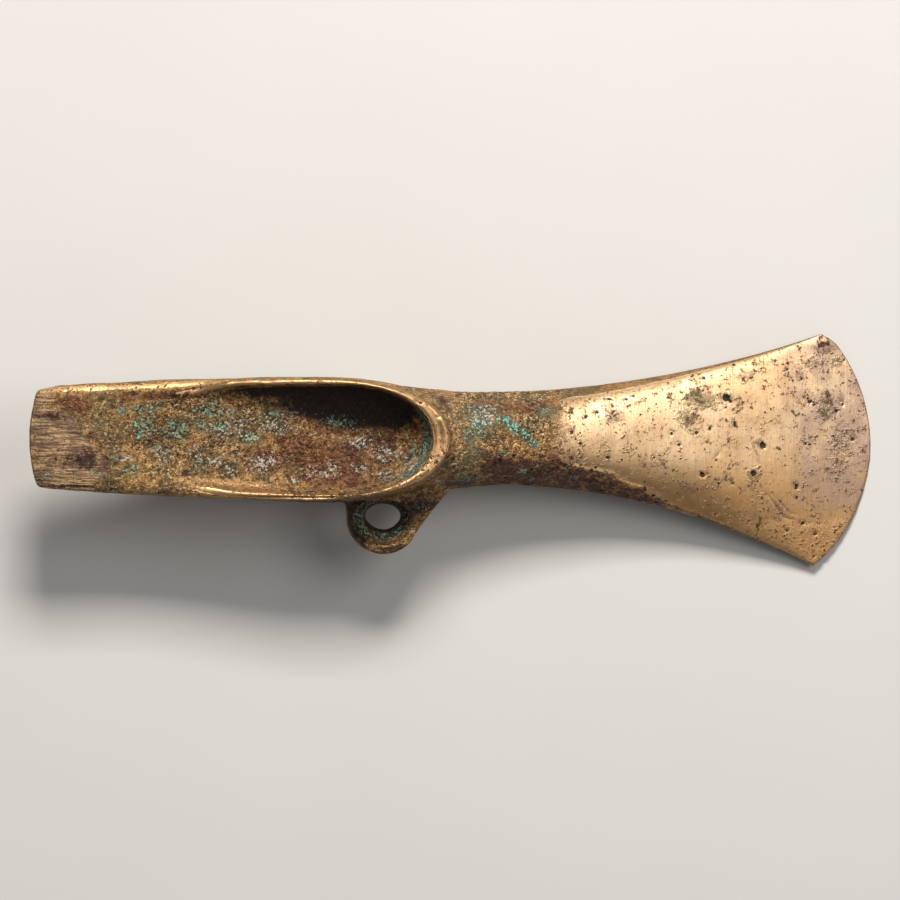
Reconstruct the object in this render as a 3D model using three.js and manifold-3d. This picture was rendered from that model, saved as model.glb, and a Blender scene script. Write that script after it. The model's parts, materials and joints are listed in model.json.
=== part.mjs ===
// A bronze axe head of the looped palstave kind: one casting, made as one solid.
//
// The axe is drawn in its own frame first: x runs from the butt to the cutting edge, y across the
// blade with the side loop on -y, and z out of the upper face, with z = 0 on the mould seam.
// The finished solid is then tipped about y until it lies as it does on a table, on the lower stop
// lip and the cutting edge, each worn to a small flat there, with the table at z = 0. Millimetres
// throughout.
import * as THREE from 'three';
import { mergeVertices } from 'three/addons/utils/BufferGeometryUtils.js';
import Module from 'manifold-3d';

const wasm = await Module();
wasm.setup();

// ---- Driving sizes ----

// Whole axe
const LENGTH = 165.2;

// Haft part: the butt, the two flanges and the stop lip at their end. Half widths are for the +y side
// and, with the loop, the -y side, which was filed a little narrower.
const BUTT_HALF = { up: 9.7, down: 9.0 };
const HAFT_HALF = { up: 11.8, down: 11.7 };
const HAFT_WIDEST_X = 54;
const HAFT_TAPER_POWER = { up: 1.9, down: 1.25 };
const BUTT_BOW = 1.9;
const BUTT_ROUND = 1.1;
const BUTT_ROUND_FROM = 0.3;
const BUTT_CORNER = { up: 0.9, down: 0.3, run: 6 };
const LIP_OUTER_X = 80.4;
const LIP_OUTER_POWER = 2.2;

// Flange crests: height above the seam, and how round their outer edges are
const CREST_AT_BUTT = 2.1;
const CREST_SLOPE = 0.045;
const CREST_AT_STOP = 13.3;
const CREST_RISE = { from: 18, to: 72 };
const EDGE_ROUND = { butt: 1.9, stop: 0.75 };
const EDGE_ROUND_RUN = { from: 14, to: 40 };
const SEAM_BULGE = 0.35;
const TOP_INSET = 1.15;
const SPINE = { from: 6, to: 50, share: 0.1 };
const FILLET_RUN = 3;
const FLANK_SHARE = 0.4;
const FLANK_FADE = { from: 58, to: 72 };
const NECK_OVERLAP = 0.1;

// Hafting recess: the trough between the flanges
const FLOOR_AT_BUTT = 2.55;
const FLOOR_SLOPE = 0.018;
const FLANGE_WIDTH = { butt: 3.6, stop: 1.1 };
const FLANGE_RUN = { from: 20, to: 43 };
const RECESS_END_X = 77.2;
const RECESS_TURN_X = 60;
const BOWL_POWER = 2.6;
const FLAT_SHARE = 0.24;
const RECESS_CLEAR = 6;
const RIM_CLEAR = 0.2;

// Neck and blade
const NECK_HALF = { up: 9.2, down: 8.75 };
const NECK_X = { up: 85.2, down: 92.3 };
const SHOULDER_GAIN = { up: 2.9, down: 2.5 };
const SHOULDER_RUN = 24;
const SHOULDER_POWER = 1.1;
const HORN_HALF = { up: 20.9, down: 25.3 };
const HORN_X = { up: 156.2, down: 155.2 };
const HORN_ROUND = { up: 1.3, down: 0.3 };
const HORN_START = 0.9;
const FLARE_POWER = { up: 2.1, down: 1.93 };
const BLADE_START_X = 58;
const NECK_TOP = 10.9;
const NECK_TOP_LIMIT = 11.4;
const EDGE_RADIUS = 32.8;
const EDGE_CENTRE_Y = -0.9;
const EDGE_HALF_THICK = 0.28;
const BEVEL_RUN = 13;
const BEVEL_HALF_THICK = 2.25;
const BEVEL_SOFTNESS = 0.25;
const SIDE_SHARE = { neck: 0.42, blade: 0.4 };
const SIDE_BULGE = { neck: 1.5, blade: 0.3 };
const CROWN_POWER = { neck: 2.3, blade: 3.4 };
const CROWN_ROUND = 0.62;
const STEP_CROWDING = 0.92;

// Side loop
const LOOP_CENTRE = { x: 69.1, y: -15.3 };
const LOOP_OUTER_R = 6.9;
const LOOP_HOLE_R = 3.2;
const LOOP_MOUTH_R = 4.4;
const LOOP_HOLE_STRETCH = { x: 1.14, y: 0.88 };
const LOOP_HALF_THICK = 3.8;
const LOOP_BEVEL = 2.1;
const LOOP_ROOT_X = { left: 62, right: 82 };
const LOOP_TURN = { from: 0.98, to: 1.86 };
const LOOP_FOOT = { lean: 1, rise: 3, bend: 0.2, bendRise: 1 };
const LOOP_WEB = { run: 2.6, rise: 1.4, top: 4 };
const LOOP_MOUTH_POWER = 1.6;

// Rest
const REST_FLAT = 0.12;
const MIDDLE_X = 100;
const STEEPEST = Math.PI / 8;
const HALVINGS = 40;

// How finely the skins are divided
const BUTT_STEPS = 4;
const SIDE_STEPS = 14;
const END_STEPS = 26;
const ROUND_STEPS = 3;
const FILLET_STEPS = 4;
const BOWL_STEPS = 8;
const BLADE_STEPS = { along: 34, across: 22, edge: 4 };
const LOOP_STEPS = 30;
const STRAP_STEPS = { bevel: 3, curve: 14 };
const TINY = 1e-6;
const WELD = 1e-4;
const SLACK = 0.01;

const BRONZE = { color: 0xb58a4f, roughness: 0.42, metalness: 0.9 };

// ---- Small helpers ----

const { lerp, clamp, smoothstep } = THREE.MathUtils;

const QUARTER = Math.PI / 2;

const sideOf = (y) => (y < 0 ? 'down' : 'up');

/** Turns a closed geometry into a manifold-3d solid. */
function solid(geometry) {
  geometry.deleteAttribute('normal');
  geometry.deleteAttribute('uv');
  const merged = mergeVertices(geometry, WELD);
  return new wasm.Manifold(new wasm.Mesh({
    numProp: 3,
    vertProperties: new Float32Array(merged.attributes.position.array),
    triVerts: new Uint32Array(merged.index.array),
  }));
}

/**
 * A sphere's skin carried onto another closed form. Level 0 and the last level are its poles,
 * and place(step, level) gives the point for each step round each level.
 */
function mould(steps, levels, place) {
  const skin = new THREE.SphereGeometry(1, steps, levels);
  const points = skin.attributes.position;
  for (let level = 0; level <= levels; level += 1) {
    for (let step = 0; step <= steps; step += 1) {
      const point = place(step % steps, level);
      points.setXYZ(level * (steps + 1) + step, point.x, point.y, point.z);
    }
  }
  return skin;
}

// ---- Neck and blade ----

/** Half width of the neck and blade at x. */
function bladeHalf(x, side) {
  const flare = Math.max(0, x - NECK_X[side]) / (HORN_X[side] - NECK_X[side]);
  const back = Math.min(1, Math.max(0, NECK_X[side] - x) / SHOULDER_RUN);
  return NECK_HALF[side]
    + (HORN_HALF[side] - NECK_HALF[side]) * flare ** FLARE_POWER[side]
    + SHOULDER_GAIN[side] * back ** SHOULDER_POWER;
}

/** Where the crescent edge stands at y. Its two horns are a little rounded off. */
function edgeX(y) {
  const across = (y - EDGE_CENTRE_Y) / EDGE_RADIUS;
  const horn = Math.max(0, Math.abs(y) / HORN_HALF[sideOf(y)] - HORN_START) / (1 - HORN_START);
  return LENGTH - EDGE_RADIUS * (1 - Math.sqrt(1 - across ** 2)) - HORN_ROUND[sideOf(y)] * horn ** 2;
}

/** Half thickness at a distance back from the edge: a long wedge, then the hammered bevel. */
function wedgeThick(back) {
  const bevel = lerp(EDGE_HALF_THICK, BEVEL_HALF_THICK, back / BEVEL_RUN);
  const run = LENGTH - NECK_X.up - BEVEL_RUN;
  const wedge = lerp(BEVEL_HALF_THICK, NECK_TOP, (back - BEVEL_RUN) / run);
  const gap = Math.abs(wedge - bevel) / BEVEL_SOFTNESS;
  const thick = Math.min(bevel, wedge) - BEVEL_SOFTNESS * Math.log1p(Math.exp(-gap));
  return clamp(thick, EDGE_HALF_THICK, NECK_TOP_LIMIT);
}

/** How far the neck has turned into blade at x: 0 at the neck, 1 near the bevel. */
const bladeForm = (x) => smoothstep(x, NECK_X.up, LENGTH - 2 * BEVEL_RUN);

/** How far the side bulges past the edge of the face at x. */
const sideBulge = (x) => lerp(SIDE_BULGE.neck, SIDE_BULGE.blade, bladeForm(x))
  * Math.min(1, (LENGTH - x) / BEVEL_RUN);

/** Height of the neck's or blade's upper face above the seam at x, y. */
function faceHeight(x, y) {
  const form = bladeForm(x);
  const middle = wedgeThick(edgeX(y) - x);
  const side = sideOf(y);
  const rim = Math.max(EDGE_HALF_THICK, middle * lerp(SIDE_SHARE.neck, SIDE_SHARE.blade, form));
  const across = Math.min(1, Math.abs(y) / (bladeHalf(x, side) - sideBulge(x)));
  const crown = 1 - across ** lerp(CROWN_POWER.neck, CROWN_POWER.blade, form);
  return lerp(rim, middle, crown ** CROWN_ROUND);
}

/** The neck and blade: a box skin, drawn out and flared. */
function blade() {
  const { along, across, edge } = BLADE_STEPS;
  const skin = new THREE.BoxGeometry(1, 1, 1, along, across, edge);
  const points = skin.attributes.position;
  for (let i = 0; i < points.count; i += 1) {
    const reach = (points.getX(i) + 0.5) ** STEP_CROWDING;
    const share = Math.sin(points.getY(i) * Math.PI);
    const height = points.getZ(i) * 2;
    const side = sideOf(share);
    const sideX = lerp(BLADE_START_X, edgeX(Math.sign(share) * HORN_HALF[side]), reach);
    const x = lerp(BLADE_START_X, edgeX(share * HORN_HALF[side]), reach);
    const bulge = sideBulge(x);
    const swell = Math.abs(share) > 1 - TINY ? Math.sqrt(1 - height ** 2) : 0;
    const inner = Math.abs(share) * (bladeHalf(sideX, side) - bulge);
    const y = Math.sign(share) * (inner + bulge * swell);
    points.setXYZ(i, x, y, height * faceHeight(x, Math.sign(share) * inner));
  }
  return skin;
}

// ---- Haft part ----

/** Half width of the haft part at x, before it turns in round the stop. */
function haftHalf(x, side) {
  const gap = clamp(1 - x / HAFT_WIDEST_X, 0, 1);
  const corner = clamp(1 - x / BUTT_CORNER.run, 0, 1);
  return HAFT_HALF[side]
    - (HAFT_HALF[side] - BUTT_HALF[side]) * gap ** HAFT_TAPER_POWER[side]
    - BUTT_CORNER[side] * corner ** 2;
}

/** Height of the butt's upper face above the seam at x: a plane that the flanges rise out of. */
const buttHeight = (x) => CREST_AT_BUTT + CREST_SLOPE * x;

/** From one value to another as x crosses a run. */
const ramp = (from, to, x, run) => lerp(from, to, smoothstep(x, run.from, run.to));

/** Height of the flange crests above the seam at x. */
const crestHeight = (x) => ramp(buttHeight(x), CREST_AT_STOP, x, CREST_RISE);

/** Height of the trough's floor above the seam at x: a flat, slightly rising plane. */
const floorHeight = (x) => FLOOR_AT_BUTT + FLOOR_SLOPE * x;

/**
 * A horseshoe drawn anticlockwise from the middle of the butt: along the butt, up the -y side,
 * round the stop, and back. Each point also carries its outward direction.
 */
function horseshoe({ half, buttX, turnX, endX, power }) {
  const butt = (sign) => Array.from({ length: BUTT_STEPS }, (_, i) => {
    const y = sign * half(0, sideOf(sign)) * (i / BUTT_STEPS);
    return new THREE.Vector2(buttX(y), y);
  });
  const flank = (sign) => Array.from({ length: SIDE_STEPS + 1 }, (_, i) => {
    const x = lerp(buttX(half(0, sideOf(sign))), turnX, i / SIDE_STEPS);
    return new THREE.Vector2(x, sign * half(x, sideOf(sign)));
  });
  const end = Array.from({ length: END_STEPS - 1 }, (_, i) => {
    const angle = Math.PI * ((i + 1) / END_STEPS) - QUARTER;
    const across = Math.sign(angle) * Math.abs(Math.sin(angle)) ** (2 / power);
    const along = Math.cos(angle) ** (2 / power);
    return new THREE.Vector2(lerp(turnX, endX, along), across * half(turnX, sideOf(angle)));
  });
  const points = [...butt(-1), ...flank(-1), ...end, ...flank(1).reverse(), ...butt(1).slice(1).reverse()];
  return points.map((at, i) => {
    const before = points.at(i - 1);
    const after = points[(i + 1) % points.length];
    const out = new THREE.Vector2(after.y - before.y, before.x - after.x).normalize();
    return { x: at.x, y: at.y, out };
  });
}

/** The haft part with no recess in it: a boat-shaped block, rounded over and flowing into the neck. */
function haftBlock() {
  const outline = horseshoe({
    half: haftHalf,
    buttX: (y) => BUTT_BOW * (y / BUTT_HALF.up) ** 2,
    turnX: HAFT_WIDEST_X,
    endX: LIP_OUTER_X,
    power: LIP_OUTER_POWER,
  });
  // From the middle of the top down to the seam: the spine, the flat top, the rounded edge, the flank
  const upper = [{ over: -1, spine: true }, { over: -1 }];
  for (let i = 0; i <= ROUND_STEPS; i += 1) {
    upper.push({ over: i / ROUND_STEPS });
  }
  for (let i = 1; i <= FILLET_STEPS; i += 1) {
    upper.push({ over: 1, fall: i / FILLET_STEPS });
  }
  upper.push({ over: 1, fall: 1, low: 0.5 });
  const seam = { over: 1, fall: 1, low: 0 };
  const lower = upper.map((ring) => ({ ...ring, under: true })).reverse();
  const rings = [...upper, seam, ...lower];
  const poleX = HAFT_WIDEST_X / 2;

  return mould(outline.length, rings.length + 1, (step, level) => {
    if (level === 0 || level > rings.length) {
      return new THREE.Vector3(poleX, 0, (level === 0 ? 1 : -1) * buttHeight(poleX));
    }
    const { over, fall = 0, low = 1, under, spine } = rings[level - 1];
    const at = outline[step];
    if (spine) {
      const x = clamp(at.x, SPINE.from, SPINE.to);
      return new THREE.Vector3(x, at.y * SPINE.share, (under ? -1 : 1) * buttHeight(x));
    }
    const crest = crestHeight(at.x);
    const round = ramp(EDGE_ROUND.butt, EDGE_ROUND.stop, at.x, EDGE_ROUND_RUN);
    const edge = crest - round;
    const flare = FILLET_RUN * Math.max(0, at.out.x) * (at.x > HAFT_WIDEST_X ? 1 : 0);
    const foot = faceHeight(at.x + at.out.x * flare, at.y + at.out.y * flare);
    const meet = ramp(edge * FLANK_SHARE, foot - NECK_OVERLAP, at.x, FLANK_FADE);
    const height = over < 1
      ? crest - round * (1 - Math.cos(QUARTER * Math.max(0, over)))
      : lerp(edge, Math.min(meet, edge), Math.sin(QUARTER * fall)) * low;
    const inset = over < 0 ? TOP_INSET * round : round * (1 - Math.sin(QUARTER * over));
    const bulge = SEAM_BULGE * (1 - (height / crest) ** 2);
    const out = bulge + flare * (1 - Math.cos(QUARTER * fall)) - inset;
    const buttRound = at.out.x < -BUTT_ROUND_FROM ? BUTT_ROUND * (height / crest) ** 2 : 0;
    return new THREE.Vector3(
      at.x + at.out.x * out + buttRound,
      at.y + at.out.y * out,
      under ? -height : height,
    );
  });
}

/** What is cut away above the septum: a trough, open at the butt, with a bowl-shaped end. */
function recess() {
  const flange = (x) => ramp(FLANGE_WIDTH.butt, FLANGE_WIDTH.stop, x, FLANGE_RUN);
  const inner = (x, side) => haftHalf(x, side) - flange(x);
  const rim = horseshoe({
    half: inner,
    buttX: () => -RECESS_CLEAR,
    turnX: RECESS_TURN_X,
    endX: RECESS_END_X,
    power: 2,
  });
  const atMouth = (at) => at.x < SLACK - RECESS_CLEAR && Math.abs(at.y) < inner(0, sideOf(at.y)) - SLACK;
  const top = CREST_AT_STOP + RECESS_CLEAR;
  const poleX = RECESS_TURN_X / 2;
  const levels = BOWL_STEPS + 3;

  return mould(rim.length, levels, (step, level) => {
    const at = rim[step];
    if (level === 0 || level === levels) {
      return new THREE.Vector3(poleX, 0, level === 0 ? top : floorHeight(poleX));
    }
    if (level === 1) {
      return new THREE.Vector3(at.x, at.y, top);
    }
    const angle = QUARTER * (1 - (level - 2) / BOWL_STEPS);
    const share = lerp(FLAT_SHARE, 1, Math.sin(angle) ** (2 / BOWL_POWER));
    const rise = atMouth(at) ? 0 : 1 - Math.cos(angle) ** (2 / BOWL_POWER);
    const spineX = clamp(at.x, -RECESS_CLEAR / 2, RECESS_TURN_X);
    const x = lerp(spineX, at.x, share);
    const rimHeight = Math.max(crestHeight(at.x) + RIM_CLEAR, floorHeight(at.x));
    return new THREE.Vector3(x, at.y * share, lerp(floorHeight(x), rimHeight, rise));
  });
}

// ---- Side loop ----

/** The strap of the loop, with its web running on to the neck. */
function loopStrap() {
  const { x, y } = LOOP_CENTRE;
  const r = LOOP_OUTER_R - LOOP_BEVEL;
  const left = LOOP_ROOT_X.left + LOOP_BEVEL;
  const right = LOOP_ROOT_X.right - LOOP_BEVEL;
  const shape = new THREE.Shape();
  shape.moveTo(left - LOOP_FOOT.lean, y + r + LOOP_FOOT.rise);
  shape.quadraticCurveTo(left, y + r, left + LOOP_FOOT.bend, y + LOOP_FOOT.bendRise);
  shape.absarc(x, y, r, Math.PI * LOOP_TURN.from, Math.PI * LOOP_TURN.to, false);
  shape.quadraticCurveTo(x + r + LOOP_WEB.run, y + r / 2, right, y + r + LOOP_WEB.rise);
  shape.lineTo(right, y + r + LOOP_WEB.top);
  const strap = new THREE.ExtrudeGeometry(shape, {
    depth: 2 * (LOOP_HALF_THICK - LOOP_BEVEL),
    bevelEnabled: true,
    bevelThickness: LOOP_BEVEL,
    bevelSize: LOOP_BEVEL,
    bevelSegments: STRAP_STEPS.bevel,
    curveSegments: STRAP_STEPS.curve,
  });
  strap.translate(0, 0, LOOP_BEVEL - LOOP_HALF_THICK);
  return strap;
}

/** The hole through the loop: narrow at the seam and wider at both mouths, as a core leaves it. */
function loopHole() {
  const rise = LOOP_HALF_THICK + 1;
  const profile = [new THREE.Vector2(0, -rise)];
  for (let i = -3; i <= 3; i += 1) {
    const height = (i / 3) * rise;
    const open = (Math.abs(height) / LOOP_HALF_THICK) ** LOOP_MOUTH_POWER;
    profile.push(new THREE.Vector2(lerp(LOOP_HOLE_R, LOOP_MOUTH_R, open), height));
  }
  profile.push(new THREE.Vector2(0, rise));
  const hole = new THREE.LatheGeometry(profile, LOOP_STEPS);
  hole.rotateX(QUARTER);
  hole.scale(LOOP_HOLE_STRETCH.x, LOOP_HOLE_STRETCH.y, 1);
  hole.translate(LOOP_CENTRE.x, LOOP_CENTRE.y, 0);
  return hole;
}

// ---- The casting ----

const upperRecess = solid(recess());
const lowerRecess = upperRecess.mirror([0, 0, 1]);
const casting = solid(haftBlock())
  .add(solid(blade()))
  .add(solid(loopStrap()))
  .subtract(solid(loopHole()))
  .subtract(upperRecess)
  .subtract(lowerRecess);

/** How far the axe tips about y, blade down, until both its ends touch the table. */
function restingTilt(points) {
  const lowest = (angle, isBlade) => {
    let low = Infinity;
    for (let i = 0; i < points.length; i += 3) {
      if ((points[i] > MIDDLE_X) === isBlade) {
        low = Math.min(low, points[i + 2] * Math.cos(angle) - points[i] * Math.sin(angle));
      }
    }
    return low;
  };
  let level = 0;
  let steep = STEEPEST;
  for (let i = 0; i < HALVINGS; i += 1) {
    const middle = (level + steep) / 2;
    if (lowest(middle, true) > lowest(middle, false)) {
      level = middle;
    } else {
      steep = middle;
    }
  }
  return steep;
}

const tilt = restingTilt(casting.getMesh().vertProperties);
const tipped = casting.rotate([0, THREE.MathUtils.radToDeg(tilt), 0]);
const worn = tipped.trimByPlane([0, 0, 1], tipped.boundingBox().min[2] + REST_FLAT);

const cast = worn.getMesh();
const geometry = new THREE.BufferGeometry();
geometry.setAttribute('position', new THREE.BufferAttribute(cast.vertProperties, 3));
geometry.setIndex(new THREE.BufferAttribute(cast.triVerts, 1));
geometry.computeVertexNormals();

geometry.computeBoundingBox();
const box = geometry.boundingBox;
geometry.translate(-(box.min.x + box.max.x) / 2, -(box.min.y + box.max.y) / 2, -box.min.z);

const axeHead = new THREE.Mesh(geometry, new THREE.MeshStandardMaterial(BRONZE));
axeHead.name = 'axe_head';

const palstave = new THREE.Group();
palstave.add(axeHead);

export default palstave;
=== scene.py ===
"""A bronze axe head of the looped palstave kind, lying on a pale table and seen from straight above.

The casting's form comes from the CAD solid, remeshed into small even faces. What the years and the
maker's hammer left on it is then worked into the mesh: the ridges of the stop lip, the rim of
the side loop, pits, cracks, nicks, butt striations and corrosion. Its patina, together with painted
shade in the upper recess, round the loop, at the foot of the stop's rim and on the blade's -y side,
is painted by soft masks, kept as attributes, that one bronze material reads.

Places on the axe are given in plan millimetres: x from the butt end towards the cutting edge, and y
from the axe's middle line, with the side loop on -y, both as seen from straight above.
"""

import itertools
import json
import math

import bpy
import numpy as np
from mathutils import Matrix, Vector, kdtree


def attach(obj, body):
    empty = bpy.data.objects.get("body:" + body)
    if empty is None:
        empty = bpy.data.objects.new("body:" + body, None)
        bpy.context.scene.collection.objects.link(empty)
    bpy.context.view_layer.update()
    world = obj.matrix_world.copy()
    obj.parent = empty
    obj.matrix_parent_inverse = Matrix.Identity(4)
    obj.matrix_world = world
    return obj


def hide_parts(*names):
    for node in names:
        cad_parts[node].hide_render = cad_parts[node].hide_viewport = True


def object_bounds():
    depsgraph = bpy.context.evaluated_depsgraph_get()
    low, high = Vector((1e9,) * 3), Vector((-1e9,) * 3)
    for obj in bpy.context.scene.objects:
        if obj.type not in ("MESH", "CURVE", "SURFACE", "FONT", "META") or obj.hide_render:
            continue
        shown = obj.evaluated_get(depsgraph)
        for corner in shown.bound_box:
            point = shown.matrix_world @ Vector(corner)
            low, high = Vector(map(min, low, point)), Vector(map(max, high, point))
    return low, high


MM = 0.001

# ---- The casting's sizes, in its own frame and in millimetres ----

MIDDLE_Y = 2.0
SEAM_BULGE = 0.35
BUTT_HALF, HAFT_HALF, HAFT_WIDEST_X = 9.35, 11.75, 54.0
FLANGE_WIDTH = (3.6, 1.1)
FLANGE_RUN = (20.0, 43.0)
RECESS_TURN_X, RECESS_END_X = 60.0, 77.2
LIP_WIDTH = 3.2
LOOP_CENTRE = (68.4, -15.3)

# ---- How finely the surface is divided ----

FACE_SIZE = 0.21
TRIANGLES = 196000
SMOOTH_ROUNDS = 30

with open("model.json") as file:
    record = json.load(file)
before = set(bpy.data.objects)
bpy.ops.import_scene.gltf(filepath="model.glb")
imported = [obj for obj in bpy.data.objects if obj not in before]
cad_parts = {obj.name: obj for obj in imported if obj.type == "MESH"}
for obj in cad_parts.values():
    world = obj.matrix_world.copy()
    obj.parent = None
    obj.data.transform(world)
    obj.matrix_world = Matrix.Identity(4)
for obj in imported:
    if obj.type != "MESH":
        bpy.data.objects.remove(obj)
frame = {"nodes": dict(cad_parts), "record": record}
cad_low, cad_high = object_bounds()


# ---- Small helpers for numbers ----

def lerp(a, b, share):
    return a + (b - a) * share


def step(value, low, high):
    """0 below low and 1 above high, and smooth between them. low may be the larger."""
    share = np.clip((value - low) / (high - low), 0, 1)
    return share * share * (3 - 2 * share)


def bell(distance, reach):
    """1 at no distance, falling to nothing at about twice the reach."""
    return np.exp(-((distance / reach) ** 2))


class Grain:
    """Smooth random values from -1 to 1 in space, the same at every run."""

    SIZE = 32

    def __init__(self, seed):
        shape = (self.SIZE,) * 3
        self.table = np.random.default_rng(seed).uniform(-1, 1, shape)

    def __call__(self, points, size):
        """size is the grain's size in millimetres: one number, or three for a stretched grain."""
        cell = points / np.asarray(size, float)
        base = np.floor(cell).astype(int)
        part = cell - base
        part = part * part * (3 - 2 * part)
        total = np.zeros(len(points))
        for corner in itertools.product((0, 1), repeat=3):
            weight = np.prod(np.where(corner, part, 1 - part), axis=1)
            at = (base + corner) % self.SIZE
            total += weight * self.table[at[:, 0], at[:, 1], at[:, 2]]
        return total

    def rough(self, points, size, turns=3):
        """Several grains on each other, each half the size and strength of the one before."""
        total = np.zeros(len(points))
        for turn in range(turns):
            total += self(points + 17.3 * turn, np.asarray(size, float) / 2 ** turn) / 2 ** turn
        return total


# ---- The skin: the mesh's points, with where each is on the axe ----

class Skin:
    """A mesh's points and normals in millimetres, in the row frame and in the axe's own frame."""

    def __init__(self, mesh):
        self.mesh = mesh
        count = len(mesh.vertices)
        links = np.empty(len(mesh.edges) * 2, np.int32)
        mesh.edges.foreach_get("vertices", links)
        self.ends = links.reshape(-1, 2)
        self.degree = np.bincount(links, minlength=count)
        self.read()

    def read(self):
        count = len(self.mesh.vertices)
        flat = np.empty(count * 3, np.float32)
        self.mesh.vertices.foreach_get("co", flat)
        self.points = flat.reshape(-1, 3).astype(float) / MM
        self.mesh.update()
        self.mesh.vertices.foreach_get("normal", flat)
        self.normals = flat.reshape(-1, 3).astype(float)
        # The plan, from straight above, and the axe's own frame, along its seam
        self.x = self.points[:, 0] - cad_low.x / MM
        self.y = self.points[:, 1] - MIDDLE_Y
        along, up = seam_directions()
        own_x = self.points @ along
        self.own_x = own_x - own_x.min() - SEAM_BULGE
        self.own_z = self.points @ up - seam_height()
        self.facing = self.normals @ up

    def write(self):
        """Keeps the moved points, inside the CAD solid's box and above the table."""
        low = np.array(cad_low) / MM
        high = np.array(cad_high) / MM
        inside = np.clip(self.points, low, high)
        self.mesh.vertices.foreach_set("co", (inside * MM).astype(np.float32).ravel())
        self.read()

    def around(self, values):
        """The mean of each point's neighbours."""
        values = np.asarray(values, float)
        total = np.zeros_like(values)
        if values.ndim == 1:
            total += np.bincount(self.ends[:, 0], values[self.ends[:, 1]], len(values))
            total += np.bincount(self.ends[:, 1], values[self.ends[:, 0]], len(values))
            return total / self.degree
        for axis in range(values.shape[1]):
            total[:, axis] = self.around(values[:, axis]) * self.degree
        return total / self.degree[:, None]

    def softened(self, values, rounds):
        for _ in range(rounds):
            values = lerp(values, self.around(values), 0.6)
        return values

    def lift(self, height):
        """Moves each point out along its normal by its height."""
        self.points += self.normals * height[:, None]


def seam_directions():
    """The axe's own x and z directions: its z halves the angle between its two haft beds."""
    mounts = frame["record"]["mounts"]
    upper, lower = (np.array(mount["axis"], float) for mount in mounts[:2])
    up = upper - lower
    up /= np.linalg.norm(up)
    return np.array([up[2], 0, -up[0]]), up


def seam_height():
    """How far the seam plane is from the row frame's origin, in millimetres."""
    beds = [np.array(mount["pos_m"], float) for mount in frame["record"]["mounts"][:2]]
    return (beds[0] + beds[1]) @ seam_directions()[1] / 2 / MM


def rim_gap(x, y):
    """Millimetres inside the rim of the hafting recess, or outside it where negative."""
    taper = np.clip(1 - x / HAFT_WIDEST_X, 0, 1) ** 1.6
    half = HAFT_HALF - (HAFT_HALF - BUTT_HALF) * taper
    inner = half - lerp(*FLANGE_WIDTH, step(x, *FLANGE_RUN))
    beside = inner - np.abs(y)
    reach = np.hypot(x - RECESS_TURN_X, y) + 1e-6
    run = RECESS_END_X - RECESS_TURN_X
    share = np.hypot((x - RECESS_TURN_X) / run, y / inner) + 1e-6
    return np.where(x < RECESS_TURN_X, beside, reach * (1 / share - 1))


def path_distance(x, y, path):
    """How far each point is from a path in plan, and how far along the path its nearest place is."""
    best = np.full(len(x), 1e9)
    along = np.zeros(len(x))
    for i, (start, end) in enumerate(zip(path, path[1:])):
        run = np.array(end, float) - start
        share = ((x - start[0]) * run[0] + (y - start[1]) * run[1]) / (run @ run)
        share = np.clip(share, 0, 1)
        distance = np.hypot(x - start[0] - share * run[0], y - start[1] - share * run[1])
        nearer = distance < best
        best = np.where(nearer, distance, best)
        along = np.where(nearer, (i + share) / (len(path) - 1), along)
    return best, along


def blot(skin, x, y, reach_x, reach_y=None, turn=0):
    """A soft oval blot in plan, turned by an angle in degrees."""
    reach_y = reach_y or reach_x
    c, s = math.cos(math.radians(turn)), math.sin(math.radians(turn))
    dx, dy = skin.x - x, skin.y - y
    return bell(np.hypot((dx * c + dy * s) / reach_x, (dy * c - dx * s) / reach_y), 1)


def blots(skin, places):
    """The strongest of several blots at each point."""
    total = np.zeros(len(skin.x))
    for place in places:
        total = np.maximum(total, blot(skin, *place))
    return total


# ---- The bare casting ----

def select_only(piece):
    bpy.ops.object.select_all(action="DESELECT")
    piece.select_set(True)
    bpy.context.view_layer.objects.active = piece


def apply_modifier(piece, kind, **settings):
    select_only(piece)
    bpy.ops.object.modifier_add(type=kind)
    modifier = piece.modifiers[-1]
    for name, value in settings.items():
        setattr(modifier, name, value)
    bpy.ops.object.modifier_apply(modifier=modifier.name)


def bare_casting(face_size):
    """The CAD solid's mesh, copied, welded and remeshed into small even faces."""
    mesh = frame["nodes"]["axe_head"].data.copy()
    piece = bpy.data.objects.new("bronze_axe", mesh)
    bpy.context.scene.collection.objects.link(piece)
    mesh.materials.clear()
    select_only(piece)
    bpy.ops.object.mode_set(mode="EDIT")
    bpy.ops.mesh.select_all(action="SELECT")
    bpy.ops.mesh.remove_doubles(threshold=1e-6)
    bpy.ops.object.mode_set(mode="OBJECT")
    apply_modifier(piece, "REMESH", mode="VOXEL", voxel_size=face_size * MM)
    return piece


def ease_facets(skin):
    """Rounds the facets off, and leaves the thin cutting edge and the rims as sharp as they were."""
    keep = skin.points.copy()
    edge = step(skin.own_x, 146, 158)
    for _ in range(SMOOTH_ROUNDS):
        skin.points = lerp(skin.points, skin.around(skin.points), 0.6)
    shift = skin.points - keep
    # What a wide smoothing takes from the crests is given back
    lost = skin.softened(shift, SMOOTH_ROUNDS * 2)
    skin.points = keep + (shift - 0.75 * lost) * (1 - 0.9 * edge[:, None])
    skin.write()


# ---- What the mould, the hammer and the years left ----

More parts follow.
